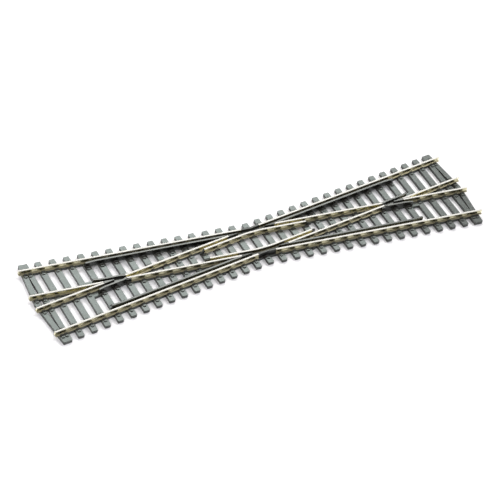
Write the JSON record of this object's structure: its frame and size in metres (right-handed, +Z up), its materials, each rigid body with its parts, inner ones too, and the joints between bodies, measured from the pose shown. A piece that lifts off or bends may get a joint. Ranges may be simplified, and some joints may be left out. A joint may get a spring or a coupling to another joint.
{
  "type": "diamond crossing",
  "caption": "Straight diamond crossing for model railway track: metal rails on a moulded sleeper base, with plastic frogs, guard rails and jumper wires beneath.",
  "frame": {"origin": "centre of the underside, where the two track centre lines cross", "axes": "+X along the long axis of the diamond, +Y across it, +Z up out of the rails"},
  "size_m": [0.2498, 0.0552, 0.0042],
  "materials": {
    "sleepers": "satin dark grey moulded plastic with a fine wood grain",
    "mouldings": "satin near-black moulded plastic",
    "rail": "drawn nickel silver, bright on the running surface, duller on the sides",
    "wire": "plain drawn wire"
  },
  "bodies": {
    "root": {"sleeper_base": "sleepers", "stock_rail_north_west": "rail", "stock_rail_north_east": "rail", "stock_rail_south_west": "rail", "stock_rail_south_east": "rail", "vee_rail_west_north": "rail", "vee_rail_west_south": "rail", "vee_rail_east_north": "rail", "vee_rail_east_south": "rail", "closure_rail_north_west": "rail", "closure_rail_north_east": "rail", "closure_rail_south_west": "rail", "closure_rail_south_east": "rail", "check_rail_north": "rail", "check_rail_south": "rail", "acute_frog_west": "mouldings", "acute_frog_east": "mouldings", "obtuse_frog_north": "mouldings", "obtuse_frog_south": "mouldings", "guard_rail_north_west": "mouldings", "guard_rail_north_east": "mouldings", "guard_rail_south_west": "mouldings", "guard_rail_south_east": "mouldings", "jumper_west_a": "wire", "jumper_west_b": "wire", "jumper_east_a": "wire", "jumper_east_b": "wire", "jumper_north_a": "wire", "jumper_north_b": "wire", "jumper_south_a": "wire", "jumper_south_b": "wire"}
  },
  "joints": []
}
